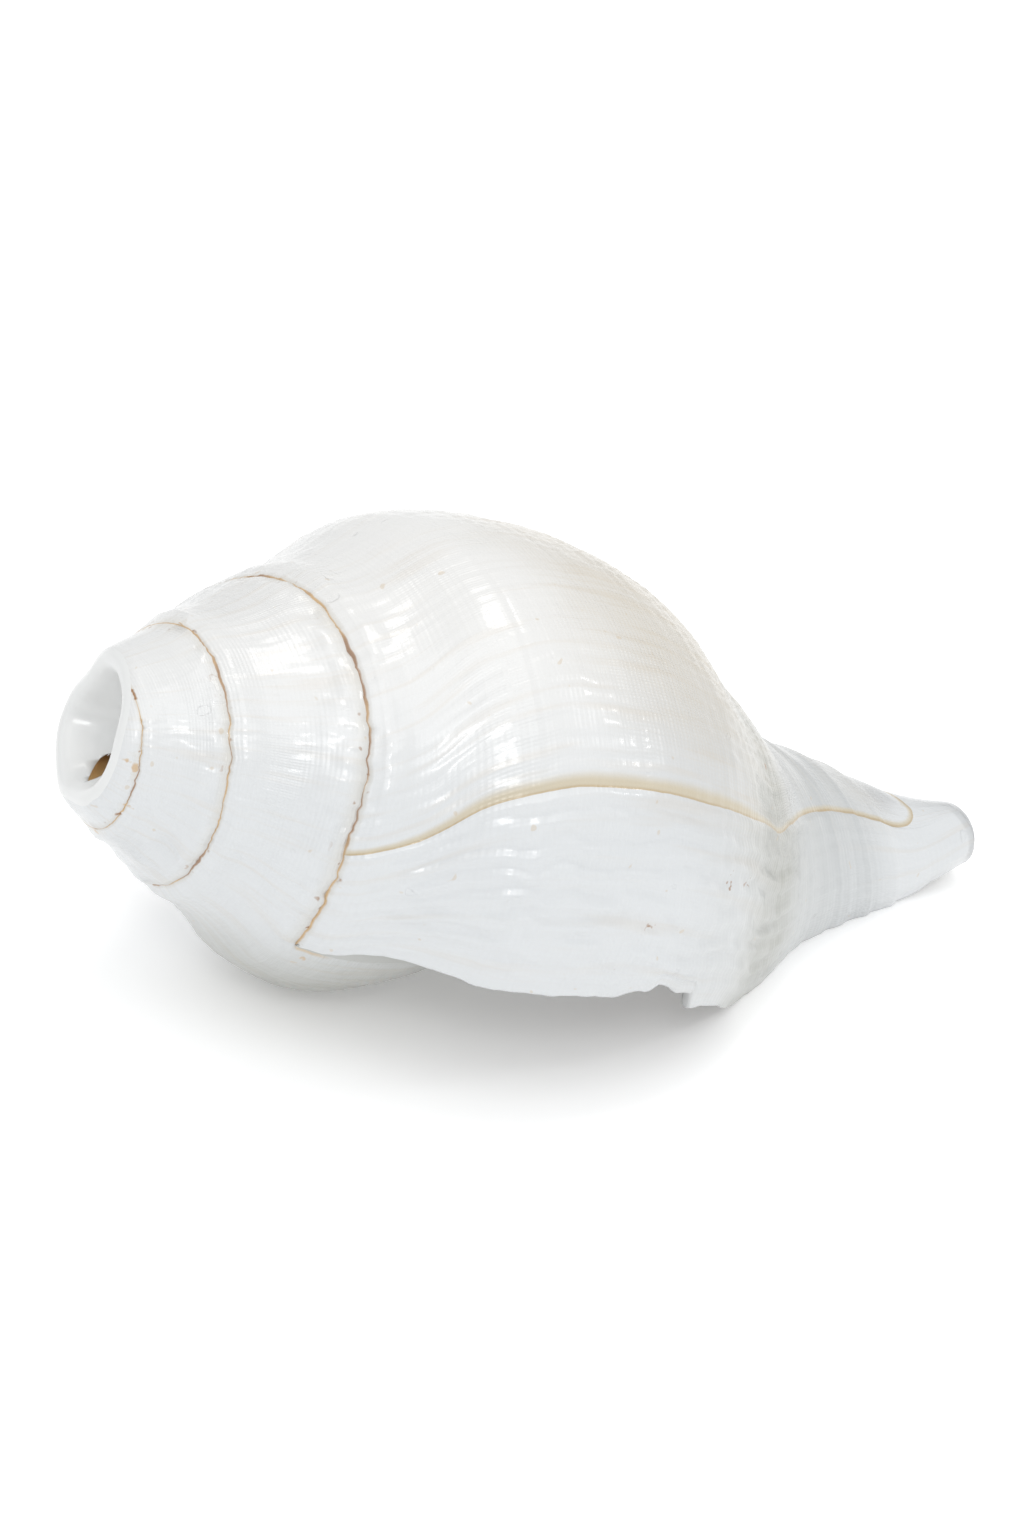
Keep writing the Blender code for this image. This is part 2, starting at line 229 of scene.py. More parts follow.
def place(along, out, turn):
    """Point in the shell's resting position, in metres."""
    angle = np.radians(np.asarray(turn, float) + LIP_AT)
    rise = out * np.cos(angle) + through(CANAL_RISE, along)
    dip = math.radians(AXIS_DIP)
    x = along * math.cos(dip) + rise * math.sin(dip) + COIL_APEX[0]
    y = -out * np.sin(angle) + COIL_APEX[1]
    z = -along * math.sin(dip) + rise * math.cos(dip) + COIL_APEX[2]
    return np.stack(np.broadcast_arrays(x, y, z), -1) * MM


def lean(step, x):
    """Turn at x of the growth line that leaves the suture at this step."""
    since = np.clip((step - PAUSE_AT) / -PAUSE_AT, 0.0, 1.0)
    before = ease(1 + (step - PAUSE_AT) / PAUSE_LINE_SPAN)
    line = through(LIP_LINE, x) * since + through(PAUSE_LINE, x) * (1 - since) * before
    return step + line


# Relief of the outside: the seams between whorls with a swollen band below each, soft dents above
# them, waves of growth, the step at the pause, and low spiral cords, all raised from the coil.
# Heights are in mm on the newest whorl, and less on the older ones.
COIL_GIRTH = 50.0               # mm from the axis, where noise round the coil is measured
LUMP_SIZE = (9.0, 6.0)          # mm round the coil and along it, as in the next two
CRISP_SIZE = (2.6, 9.0)
NECK_GRAIN = (2.2, 22.0)
BAND_SWELL = 0.55               # the swollen band just after a seam
BAND_AT = 3.4
BAND_REACH = 2.2
SEAM_DEPTH = 0.55
SEAM_REACH = 0.7
SEAM_RAGGED = 0.45
SEAM_FADES = 14.0               # degrees from the lip
ABOVE_SEAM = (3.5, 3.6)         # where it is lumpy above a seam, and how far from there
DENTS = [(-722.0, 69.0, -2.2), (-702.0, 66.0, 1.5), (-742.0, 74.0, 1.3), (-397.0, 70.0, -1.3),
         (-380.0, 68.0, 1.0), (-417.0, 73.0, 0.9), (-456.0, 72.0, -0.9), (-436.0, 74.0, 0.7)]
DENT_REACH = (9.0, 3.5)         # degrees and mm
CALM_X = (128.0, 146.0)         # lumps and waves die down over this stretch
WAVE_LENGTH = 4.6               # degrees between waves of growth
WAVE_HEIGHT = 0.36
STEP_HEIGHT = 0.35              # the edge of the younger layer at the pause
STEP_FADES_X = (170.0, 164.0)
CORD_GAP = 2.9
CORD_HEIGHT = 0.05
FINE_CORD_GAP = 1.27
FINE_CORD_HEIGHT = 0.018
CANAL_X = (140.0, 154.0)
RIB_GAP = 5.3
RIB_HEIGHT = 0.16
NECK_ROUGHNESS = 0.10
HOLLOWED = 0.45                 # a shallow hollow round the middle of the body
HOLLOWED_X = (98.0, 18.0)
SMOOTH_TIP_X = (166.0, 178.0)
CHIP_DEPTH = 4.2                # degrees that a piece broken out of the lip reaches back
CHIP_OUTSIDE = 7.0              # degrees over which the outside makes room for it
CHIP_FADES = 20.0               # and the inside
CHIP_OUTLINE = [(96.0, 0.0), (97.5, 0.25), (100.0, 0.55), (101.5, 0.5), (104.0, 1.0), (106.0, 0.95),
                (107.5, 0.8), (110.0, 0.85), (111.2, 0.75), (111.8, 0.0), (113.0, 0.0)]


def rough(*along):
    """Smooth noise, about -1 to 1, at places given by three coordinates."""
    spots = np.stack(np.broadcast_arrays(*along), -1)
    values = [noise.fractal(Vector(spot), 1.0, 2.0, 2) for spot in spots.reshape(-1, 3)]
    return np.array(values).reshape(spots.shape[:-1])


def relief(step, turn, x):
    """How far the surface stands off the plain coil, mm."""
    from_seam = x - SUTURE_X
    to_seam = np.where(step < -360.0, WHORL_GROWTH * SUTURE_X - x, 99.0)
    angle = np.radians(turn)
    girth = angle * COIL_GIRTH
    soft = rough(1.3 * (np.cos(angle) * 2), 1.3 * (np.sin(angle) * 2 + turn * 0.02), 1.3 * (x / 28.0))
    lumps = rough(girth / LUMP_SIZE[0], x / LUMP_SIZE[1], 0.0)
    crisp = rough(girth / CRISP_SIZE[0], x / CRISP_SIZE[1], 4.0)

    # Seams and dents
    height = BAND_SWELL * hump(from_seam, BAND_AT * (1 + 0.25 * soft), BAND_REACH) * (1 + 0.5 * lumps)
    height = height - SEAM_DEPTH * np.exp(-from_seam / SEAM_REACH) * (1 + 0.5 * crisp)
    height = height - SEAM_DEPTH * np.exp(-np.clip(to_seam, 0, None) / SEAM_REACH)
    height = height + hump(to_seam, *ABOVE_SEAM) * (0.9 * lumps + 0.2 * crisp) * (turn < -360.0)
    for at_step, at_x, high in DENTS:
        height = height + high * hump(step, at_step, DENT_REACH[0]) * hump(x, at_x, DENT_REACH[1])

    # Waves of growth, strongest on the layer that is younger than the pause
    quiet = 1 - 0.75 * between(x, *CALM_X)
    height = height + 0.4 * soft * quiet + 0.16 * lumps * quiet
    waves = np.sin(2 * np.pi * step / WAVE_LENGTH + 2.6 * lumps + 1.5 * soft)
    beyond = step - PAUSE_AT
    fresh = ease(beyond / 4.0) * between(x, 58.0, 66.0)
    edge = ease(-step / 9.0)
    height = height + WAVE_HEIGHT * waves * (0.22 + 0.78 * fresh * edge) * (0.6 + 0.6 * crisp) * quiet
    overlap = ease(0.5 + beyond / 1.6) - ease((beyond + 2) / 12.0)
    height = height + STEP_HEIGHT * between(x, *STEP_FADES_X) * overlap - 0.25 * hump(beyond, 0.1, 0.55)

    # Spiral cords, ribs on the canal and grain on the neck
    cords = np.sin(2 * np.pi * x / CORD_GAP + 1.2 * soft) * CORD_HEIGHT
    cords = cords + np.sin(2 * np.pi * x / FINE_CORD_GAP) * FINE_CORD_HEIGHT
    canal = between(x, *CANAL_X)
    height = height + cords * (1 + 1.2 * canal) + RIB_HEIGHT * canal * np.sin(2 * np.pi * x / RIB_GAP + soft)
    neck = hump(x, 133.0, 9.0) * hump(step, -40.0, 60.0)
    height = height + NECK_ROUGHNESS * neck * rough(girth / NECK_GRAIN[0], x / NECK_GRAIN[1], 9.0)
    height = height - HOLLOWED * hump(x, *HOLLOWED_X)
    return height * growth(turn) * (1 - 0.8 * between(x, *SMOOTH_TIP_X))


def seam_wobble(turn, away):
    """How far the seam strays along the coil, mm, dying out away from it and at the lip."""
    slow = rough(turn / 9.0, 0.0, 2.0)
    quick = rough(turn / 3.0, 0.0, 5.0)
    stray = SEAM_RAGGED * growth(turn) * ease(-turn / SEAM_FADES) * (slow + 0.6 * quick)
    return stray * np.exp(-np.abs(away) / 2.0)


def unit(vectors):
    return vectors / np.maximum(np.linalg.norm(vectors, axis=-1, keepdims=True), 1e-12)


def surface(step, x):
    """Outside with its relief, in metres."""
    chipped = CHIP_DEPTH * through(CHIP_OUTLINE, x) * ease(1 + step / CHIP_OUTSIDE) * (step > -CHIP_OUTSIDE)
    turn = lean(step, x) - chipped
    spot = place(*outside(turn, x), turn)
    across = place(*outside(turn + 0.5, x), turn + 0.5) - spot
    down = place(*outside(turn, x - 0.2), turn) - place(*outside(turn, x + 0.2), turn)
    normal = unit(np.cross(down, across))
    ragged = seam_wobble(turn, x - SUTURE_X)
    ragged = ragged + seam_wobble(turn + 360.0, SUTURE_X - x / WHORL_GROWTH) * (step < -360.0)
    return spot + (normal * relief(step, turn, x)[..., None] + unit(down) * ragged[..., None]) * MM


# The mesh of the outside: its columns are growth lines, closest near the lip and in the view. Its
# rows run from a seam to the next, and on down the body to the end of the canal.
COLUMN_STEPS = [(-360.0, -200.0, 2.5), (-200.0, -75.0, 1.25), (-75.0, 0.0, 0.6)]
BAND_ROWS = 36
BODY_ROWS = 84
CANAL_ROWS = 26
WHORLS_KEPT = 4

newest = np.concatenate([np.arange(a, b - 0.001, s) for a, b, s in COLUMN_STEPS] + [[0.0]])
part = np.linspace(0.0, 1.0, BAND_ROWS + 1)
part = part - 0.12 * np.sin(2 * np.pi * part)           # closer rows at both seams
band = SUTURE_X * (1 + (WHORL_GROWTH - 1) * part)
body = np.linspace(band[-1], NECK_X, BODY_ROWS + 1)[1:]
canal = np.linspace(NECK_X, CANAL_TIP_X, CANAL_ROWS + 1)[1:]
rows = np.concatenate([band, body, canal])

shell_mesh = bmesh.new()
growth_map = shell_mesh.loops.layers.uv.new("growth")     # turn / 360 and x / 100
place_map = shell_mesh.loops.layers.uv.new("place")       # 0 outside, 1 inside, 2 in the bowl; depth


def patch(spots, turns, xs, kind, depth=0.0):
    """Grid of faces through the spots, with what the finish needs to know at each corner."""
    wide, high = spots.shape[:2]
    made = bmesh.ops.create_grid(shell_mesh, x_segments=wide - 1, y_segments=high - 1, size=0.5)["verts"]
    flat = np.array([v.co[:2] for v in made]) + 0.5
    i = np.rint(flat[:, 0] * (wide - 1)).astype(int)
    j = np.rint(flat[:, 1] * (high - 1)).astype(int)
    turns, xs, depth, _ = np.broadcast_arrays(turns, xs, depth, spots[..., 0])
    marks = {}
    faces = {}
    for v, a, b in zip(made, i, j):
        v.co = spots[a, b]
        marks[v] = (turns[a, b] / 360.0, xs[a, b] / 100.0), (kind, depth[a, b])
        for f in v.link_faces:
            faces[f] = True
    for f in faces:
        for corner in f.loops:
            corner[growth_map].uv, corner[place_map].uv = marks[corner.vert]


# The newest whorl, from one seam to the end of the canal
steps, xs = np.meshgrid(newest, rows, indexing="ij")
body_spots = surface(steps, xs)
seam = BAND_ROWS
body_spots[0, seam] = body_spots[-1, 0]
body_spots[-1, -1] = body_spots[0, -1]
patch(body_spots, steps, xs, 0.0)

# The older whorls, whose surface shows only between one seam and the next
younger = body_spots
for whorl in range(1, WHORLS_KEPT):
    steps, xs = np.meshgrid(newest - 360.0 * whorl, band, indexing="ij")
    spots = surface(steps, xs)
    spots[-1] = younger[0, :seam + 1]
    spots[:, seam] = younger[:, 0]
    patch(spots, steps, xs, 0.0)
    younger = spots

# The end of the canal, rounded over to one point
NOSE_ROWS = 5
lift = np.radians(90.0 * np.arange(NOSE_ROWS + 1) / NOSE_ROWS)
end = CANAL_TIP_X - TIP_SLANT / 2 + NOSE_LENGTH
along, out = outside(newest, CANAL_TIP_X)
along[-1], out[-1] = along[0], out[0]
nose = place(along[:, None] + (end - along)[:, None] * np.sin(lift), out[:, None] * np.cos(lift),
             newest[:, None])
nose[:, 0] = body_spots[:, -1]
nose[:, -1] = place(end, 0.0, 0.0)
nose[-1] = nose[0]
patch(nose, newest[:, None], CANAL_TIP_X + 2.0 * np.sin(lift), 0.0)

# The lip, and the hollow behind it: the wall is thin at the lip and thickens inwards, and the
# inside is glazed smooth. The columella, the pillar of the coil, has four low folds.
WALL = 4.6                      # deep inside, mm on the newest whorl
LIP_THICKNESS = 1.8
THICKENING_TURN = 100.0
THINNER_AT_CANAL = 0.45
THINNER_X = (130.0, 180.0)
MOST_OF_GAP = 0.7               # the wall takes no more of the room between two whorls
CANAL_CORE = 0.6
DEEP_WALL = 1.15
CALLUS = 0.4                    # the glaze laid over the older whorl
COLUMELLA_RADIUS = 8.5
LEAST_ROOM = 0.3
HOLLOW_X = (62.5, 147.0)
HOLLOW_ROUNDING = (8.0, 14.0)
MOUTH_SPAN = (14.0, 75.0)       # degrees over which the mouth takes the hollow's section
MOUTH_SPAN_X = (105.0, 145.0)
PILLAR_LEANS = 10.0
LIP_LINE_SPAN = 90.0            # degrees back over which the lip's line dies away inside
HOLLOW_END = 1046.0             # degrees back from the lip, in the blow hole's bowl
NARROWING = (850.0, 960.0)      # there the hollow narrows to the passage that the bowl opens into
WAY_ALONG = [(850.0, 34.0), (960.0, 32.5), (HOLLOW_END, 25.2)]
WAY_OUT = [(850.0, 8.0), (960.0, 6.6), (HOLLOW_END, 6.3)]
WAY_RADIUS = 2.2
RIM_ROWS = 8
FOLDS_X = (104.0, 111.0, 118.0, 125.0)
FOLD_HEIGHT = 1.1
FOLD_REACH = 1.7


def wall_at(back):
    return LIP_THICKNESS + (WALL - LIP_THICKNESS) * (1 - np.exp(-back / THICKENING_TURN))


def wall_inside(turn, x, back):
    """Inner face of the outer wall: the outside moved in by the wall, back degrees from the lip."""
    along, out = outside(turn, x)
    ahead = outside(turn, np.minimum(x + 0.4, CANAL_TIP_X))
    behind = outside(turn, np.maximum(x - 0.4, SUTURE_X))
    run, climb = ahead[0] - behind[0], ahead[1] - behind[1]
    length = np.hypot(run, climb)
    thinner = THINNER_AT_CANAL * between(x, *THINNER_X)
    thick = wall_at(back) * growth(turn) * (1 - thinner)
    older_x = np.minimum(along / growth(turn) * WHORL_GROWTH, CANAL_TIP_X)
    older = np.where(x < NECK_X, through(PROFILE, older_x) * growth(turn) / WHORL_GROWTH, CANAL_CORE * out)
    thick = np.minimum(thick, MOST_OF_GAP * (out - older) * run / length)
    return along + climb / length * thick, out - run / length * thick


def hollow(share, back, outer):
    """Section of the hollow deep inside, mm: up the outer wall, or down the columella."""
    x = HOLLOW_X[0] + (HOLLOW_X[1] - HOLLOW_X[0]) * (1 - np.cos(np.pi * share)) / 2
    older = through(PROFILE, np.minimum(x * WHORL_GROWTH, CANAL_TIP_X)) / WHORL_GROWTH + CALLUS
    out = np.maximum(older, COLUMELLA_RADIUS)
    if outer:
        room_left = np.maximum(through(PROFILE, x) - DEEP_WALL * wall_at(back) - out, LEAST_ROOM)
        start = np.clip((HOLLOW_X[0] + HOLLOW_ROUNDING[0] - x) / HOLLOW_ROUNDING[0], 0, 1)
        finish_share = np.clip((x - HOLLOW_X[1] + HOLLOW_ROUNDING[1]) / HOLLOW_ROUNDING[1], 0, 1)
        out = out + room_left * np.sqrt(1 - start ** 2) * np.sqrt(1 - finish_share ** 2)
    side = 1 if outer else -1
    narrow = between(back, *NARROWING)
    way_along = through(WAY_ALONG, back) - WAY_RADIUS * np.cos(np.pi * share)
    way_out = through(WAY_OUT, back) + side * WAY_RADIUS * np.sin(np.pi * share)
    size = growth(-back)
    return size * x + (way_along - size * x) * narrow, size * out + (way_out - size * out) * narrow


def behind_lip(back, x):
    line = through(LIP_LINE, x) * ease(1 - back / LIP_LINE_SPAN)
    return line - back - CHIP_DEPTH * through(CHIP_OUTLINE, x) * ease(1 - back / CHIP_FADES)


def ring(back):
    """Ring of the hollow, out along the outer wall and back along the columella."""
    reach = between(rows, *MOUTH_SPAN_X)
    mix = ease(back / (MOUTH_SPAN[0] + (MOUTH_SPAN[1] - MOUTH_SPAN[0]) * reach))
    up = np.arange(len(rows)) / (len(rows) - 1)
    turns = behind_lip(back, rows)
    for _ in range(2):
        along, out = wall_inside(turns, rows, back)
        deep = hollow(up, -turns, True)
        along, out = along + (deep[0] - along) * mix, out + (deep[1] - out) * mix
        wall = place(along, out, turns)
        turns = behind_lip(back, along / growth(turns))
    under = rows[seam:]
    mix = mix[seam:]
    down = np.arange(len(under)) / (len(under) - 1)
    folds = sum(FOLD_HEIGHT * hump(under, middle, FOLD_REACH) for middle in FOLDS_X) * ease(back / 20.0)
    turns = np.full(len(under), -back)
    for _ in range(2):
        along, out = outside(turns - 360.0, under)
        deep = hollow(down, -turns, False)
        along, out = along + (deep[0] - along) * mix, out + (deep[1] - out) * mix
        pillar = place(along, out + folds * growth(-back), turns)
        turns = (behind_lip(back, along / growth(turns)) + back) * ease(back / PILLAR_LEANS) - back
    return np.concatenate([wall, pillar[-2:0:-1]])


# Round of the lip
inner_turns = lean(0.0, rows) - CHIP_DEPTH * through(CHIP_OUTLINE, rows)
outer = body_spots[-1]
inner = place(*wall_inside(inner_turns, rows, 0.0), inner_turns)
plain_lip = place(*outside(inner_turns, rows), inner_turns)
ahead = unit(place(*outside(inner_turns + 1.0, rows), inner_turns + 1.0) - plain_lip)
centre, half = (outer + inner) / 2, (outer - inner) / 2
thick = np.linalg.norm(half, axis=1)[:, None]
turned = np.pi * np.arange(RIM_ROWS + 1) / RIM_ROWS
lip = np.stack([centre + half * math.cos(a) + ahead * thick * math.sin(a) for a in turned], 1)
lip[0] = outer[0]
lip[-1] = outer[-1]
lip[:, 0] = outer
patch(lip, 0.0, rows[:, None], 0.0, np.linspace(0.0, 1.0, RIM_ROWS + 1)[None])

# Mouth and hollow
backs = np.concatenate([[2.0, 4.5, 8.0, 13.0, 20.0, 28.0, 38.0, 50.0, 64.0, 80.0],
                        np.arange(98.0, HOLLOW_END, 18.0), [HOLLOW_END]])
mouth = np.concatenate([lip[:, -1], body_spots[0, -2:seam:-1]])
rings = np.stack([mouth] + [ring(b) for b in backs])
rings = np.concatenate([rings, rings[:, :1]], 1)
ring_xs = np.concatenate([rows, rows[-2:seam:-1], rows[:1]])
depths = np.concatenate([[0.0], backs])
patch(rings, -depths[:, None], ring_xs[None], 1.0, depths[:, None] / 360.0)

# The patches joined to one closed skin
bmesh.ops.remove_doubles(shell_mesh, verts=shell_mesh.verts[:], dist=0.0000005)
bmesh.ops.holes_fill(shell_mesh, edges=[e for e in shell_mesh.edges if len(e.link_faces) == 1], sides=0)
bmesh.ops.recalc_face_normals(shell_mesh, faces=shell_mesh.faces[:])
conch = put_mesh("conch", shell_mesh)

# The blow hole: the tip is sawn off a little aslant, its edge rubbed round, and the end hollowed
# to a smooth bowl. The bowl is turned about the coil's axis, so a turned cutter takes it out.
CUT_X = 21.65
CUT_SLOPE = 0.142
CUT_SLOPE_AT = 285.0            # the side where the cut is deepest
# Along the axis from the cut, and out from it: the block cut away, the shoulder, the rim, the bowl
BLOW_HOLE = [(-30.0, 0.0), (-30.0, 40.0), (16.0, 40.0), (14.5, 22.8), (6.2, 14.9), (1.7, 12.0),
             (0.6, 11.0), (0.15, 10.1), (0.1, 9.3), (0.5, 8.6), (1.3, 8.0), (3.0, 7.2), (4.9, 6.0),
             (6.2, 4.4), (7.0, 2.4), (7.3, 0.0)]
SHOULDER_RADIUS = 10.95         # faces of the cutter further out show the old outside
CUT_SIDES = 96
RIM_UNEVEN = 0.6
RIM_ROUGH = 0.16
ROUGH_WITHIN = (13.0, 10.5)     # the radius where the roughness starts, and where it is full

hole_mesh = bmesh.new()
hole_growth = hole_mesh.loops.layers.uv.new("growth")
hole_place = hole_mesh.loops.layers.uv.new("place")
points = [hole_mesh.verts.new(place(CUT_X + x, r, 180.0 / CUT_SIDES)) for x, r in BLOW_HOLE]
edges = [hole_mesh.edges.new(pair) for pair in zip(points, points[1:])]
ends = place(np.array([0.0, 100.0]), 0.0, 0.0)
bmesh.ops.spin(hole_mesh, geom=points + edges, cent=ends[0], axis=ends[1] - ends[0],
               angle=math.tau, steps=CUT_SIDES, use_merge=True)
bmesh.ops.remove_doubles(hole_mesh, verts=hole_mesh.verts[:], dist=0.00001)
bmesh.ops.recalc_face_normals(hole_mesh, faces=hole_mesh.faces[:])
axis = Vector(ends[1] - ends[0]).normalized()
deepest = Vector(place(0.0, 1.0, CUT_SLOPE_AT - LIP_AT) - ends[0]).normalized()


def off_axis(spot):
    away = spot - Vector(ends[0])
    return away - axis * axis.dot(away)


shoulder = set()
for f in hole_mesh.faces:
    if min(off_axis(v.co).length for v in f.verts) > SHOULDER_RADIUS * MM:
        shoulder.add(f)

# The slant of the cut, and the uneven rim
for v in hole_mesh.verts:
    away = off_axis(v.co)
    way = away.normalized() if away.length > 0 else away
    v.co += axis * (CUT_SLOPE * deepest.dot(away) + RIM_UNEVEN * noise.noise(way * 1.3) * MM)
    near_rim = float(between(away.length / MM, *ROUGH_WITHIN))
    v.co += away * near_rim * RIM_ROUGH * noise.noise(way * 1.1 + Vector((3.0, 1.0, 0.0)))

# Growth at the cut, worked out from the place of each corner
dip = math.radians(AXIS_DIP)
for f in hole_mesh.faces:
    centre = None
    for corner in f.loops:
        spot = np.array(corner.vert.co) / MM - COIL_APEX
        along = spot[0] * math.cos(dip) - spot[2] * math.sin(dip)
        rise = spot[0] * math.sin(dip) + spot[2] * math.cos(dip)
        angle = math.degrees(math.atan2(-spot[1], rise))
        centre = angle if centre is None else centre
        age = (centre - LIP_AT) % 360.0 - 360.0 * (WHORLS_KEPT - 1) + (angle - centre + 180.0) % 360.0 - 180.0
        corner[hole_place].uv = (0.0 if f in shoulder else 2.0, 0.0)
        corner[hole_growth].uv = (age / 360.0, along / float(growth(age)) / 100.0)
hole = put_mesh("blow_hole", hole_mesh)

# Worn spots: the shell lies on three, on the body whorl, the lip and the canal. A flat cutter, the
# ground itself, takes them off. Both cutters are used up here.
GROUND_SIZE = (0.3, 0.2, 0.02)
ground_mesh = bmesh.new()
bmesh.ops.create_cube(ground_mesh, size=1.0)
bmesh.ops.scale(ground_mesh, vec=GROUND_SIZE, verts=ground_mesh.verts[:])
bmesh.ops.translate(ground_mesh, vec=(0.0, 0.0, -GROUND_SIZE[2] / 2), verts=ground_mesh.verts[:])
ground = put_mesh("ground", ground_mesh)

for cutter in (hole, ground):
    tool = conch.modifiers.new(cutter.name, "BOOLEAN")
    tool.operation = "DIFFERENCE"
    tool.solver = "EXACT"
    tool.object = cutter
graph = bpy.context.evaluated_depsgraph_get()
finished = bpy.data.meshes.new_from_object(conch.evaluated_get(graph), depsgraph=graph)
conch.modifiers.clear()
conch.data = finished
for cutter in (hole, ground):
    bpy.data.objects.remove(cutter, do_unlink=True)
finished.shade_smooth()

# The finish: hard white lime, polished, with the fine weave of its growth still in it. Lime is
# cool white where it is thick and cream where old layers show. Dirt stays in seams and in the pause.
white = bpy.data.materials.new("conch_white")
white.use_nodes = True
tree = white.node_tree
gloss = tree.nodes["Principled BSDF"]


def node(kind, **settings):
    made = tree.nodes.new(kind)
    for name, value in settings.items():
        setattr(made, name, value)
    return made


def feed(socket, value):
    if isinstance(value, bpy.types.NodeSocket):
        tree.links.new(value, socket)
    else:
        socket.default_value = value


def work(operation, *values):
    made = node("ShaderNodeMath", operation=operation)
    for socket, value in zip(made.inputs, values):
        feed(socket, value)
    return made.outputs[0]


def fall(value, near, far):
    """1 where value is at near, easing to 0 at far."""
    made = node("ShaderNodeMapRange", interpolation_type="SMOOTHSTEP")
    settings = {"Value": value, "From Min": near, "From Max": far, "To Min": 1.0, "To Max": 0.0}
    for name, number in settings.items():
        feed(made.inputs[name], number)
    return made.outputs[0]


def times(*values):
    made = values[0]
    for value in values[1:]:
        made = work("MULTIPLY", made, value)
    return made


def plus(*values):
    made = values[0]
    for value in values[1:]:
        made = work("ADD", made, value)
    return made


def off(value, middle):
    """How far value is from middle."""
    return work("ABSOLUTE", plus(value, -middle))


def at(x, y, z=0.0):
    made = node("ShaderNodeCombineXYZ")
    for socket, value in zip(made.inputs, (x, y, z)):
        feed(socket, value)
    return made.outputs[0]


def grain(where, detail=2.0, scale=1.0):
    """Noise from 0 to 1."""
    made = node("ShaderNodeTexNoise")
    feed(made.inputs["Vector"], where)
    made.inputs["Scale"].default_value = scale
    made.inputs["Detail"].default_value = detail
    return made.outputs["Fac"]


def tint(below, mask, colour):
    made = node("ShaderNodeMix", data_type="RGBA")
    feed(made.inputs[0], mask)
    feed(made.inputs[6], below)
    feed(made.inputs[7], colour)
    return made.outputs[2]


COOL_WHITE = (0.592, 0.607, 0.618, 1.0)
# painted light: the lighter, warmer white given to the top of the shell
PAINTED_TOP_LIGHT = (0.700, 0.690, 0.672, 1.0)
BOWL_WHITE = (0.66, 0.665, 0.66, 1.0)
MIDDLE_GREY = (0.500, 0.512, 0.520, 1.0)
CREAM = (0.500, 0.462, 0.385, 1.0)
SEAM_BROWN = (0.25, 0.105, 0.02, 1.0)
SEAM_GOLD = (0.48, 0.28, 0.085, 1.0)
SEAM_TAN = (0.50, 0.37, 0.21, 1.0)
PAUSE_GOLD = (0.50, 0.43, 0.30, 1.0)
PAUSE_EDGE = (0.38, 0.26, 0.12, 1.0)
NECK_GREY = (0.310, 0.312, 0.278, 1.0)
CANAL_GREY = (0.440, 0.455, 0.460, 1.0)
INSIDE_PEACH = (0.55, 0.47, 0.40, 1.0)
PASSAGE_GOLD = (0.80, 0.58, 0.30, 1.0)
PAUSE_TIP_X = 173.8             # where the canal ended then
TIP_ROUND = 5.0
THREAD = 0.85                   # mm between spiral threads
LINES_IN_TURN = 360.0           # fine growth lines

grown = node("ShaderNodeSeparateXYZ")
feed(grown.inputs[0], node("ShaderNodeUVMap", uv_map="growth").outputs[0])
whorl, down = grown.outputs[0], grown.outputs[1]
x_mm = times(down, 100.0)
step = times(whorl, 360.0)
kept = node("ShaderNodeSeparateXYZ")
feed(kept.inputs[0], node("ShaderNodeUVMap", uv_map="place").outputs[0])
kind, depth = kept.outputs[0], kept.outputs[1]
body_point = node("ShaderNodeTexCoord").outputs["Object"]
body_axes = node("ShaderNodeSeparateXYZ")
feed(body_axes.inputs[0], body_point)

open_face = fall(kind, 0.3, 0.6)
inside = times(fall(kind, 0.7, 0.4), fall(kind, 1.3, 1.6))
cloud = grain(body_point, 2.0, 45.0)
fine_cloud = grain(body_point, 3.0, 160.0)
streaks = grain(at(times(whorl, 110.0), times(down, 3.5)), 3.0)
broad_streaks = grain(at(times(whorl, 34.0), times(down, 2.2), 3.0), 2.0)
spirals = grain(at(times(whorl, 5.0), times(down, 70.0), 7.0), 3.0)

# Weave: threads round the coil and lines of growth across them
threads = work("SINE", plus(times(x_mm, math.tau / THREAD), times(cloud, 5.0)))
lines = work("SINE", plus(times(whorl, math.tau * LINES_IN_TURN), times(fine_cloud, 7.0)))
patchy = fall(grain(body_point, 1.0, 60.0), 0.62, 0.38)
stronger = plus(0.35, times(fall(cloud, 0.35, 0.62), 0.8))
weave = times(plus(times(threads, 0.016), times(lines, 0.018, patchy)), stronger)
wrinkles = plus(times(streaks, 0.14), times(spirals, 0.09), times(broad_streaks, 0.12), times(cloud, 0.35))
pits = times(fall(grain(body_point, 0.0, 420.0), 0.13, 0.20), -0.10)
relief_height = times(plus(weave, wrinkles, pits), open_face)
bump = node("ShaderNodeBump")
bump.inputs["Strength"].default_value = 1.0
bump.inputs["Distance"].default_value = 0.001
feed(bump.inputs["Height"], relief_height)
feed(gloss.inputs["Normal"], bump.outputs[0])

# Distance from the seams, and millimetres in a degree of the coil
from_seam = off(x_mm, SUTURE_X)
to_seam = work("ABSOLUTE", plus(times(x_mm, -1.0), WHORL_GROWTH * SUTURE_X))
older = fall(step, -361.0, -359.0)
to_seam = plus(to_seam, times(plus(times(older, -1.0), 1.0), 50.0))
around = node("ShaderNodeVectorMath", operation="CROSS_PRODUCT")
apart = node("ShaderNodeVectorMath", operation="SUBTRACT")
feed(apart.inputs[0], body_point)
apart.inputs[1].default_value = COIL_APEX * MM
feed(around.inputs[0], apart.outputs[0])
around.inputs[1].default_value = axis
radius = node("ShaderNodeVectorMath", operation="LENGTH")
feed(radius.inputs[0], around.outputs[0])
mm_per_degree = times(radius.outputs["Value"], math.radians(1000.0))


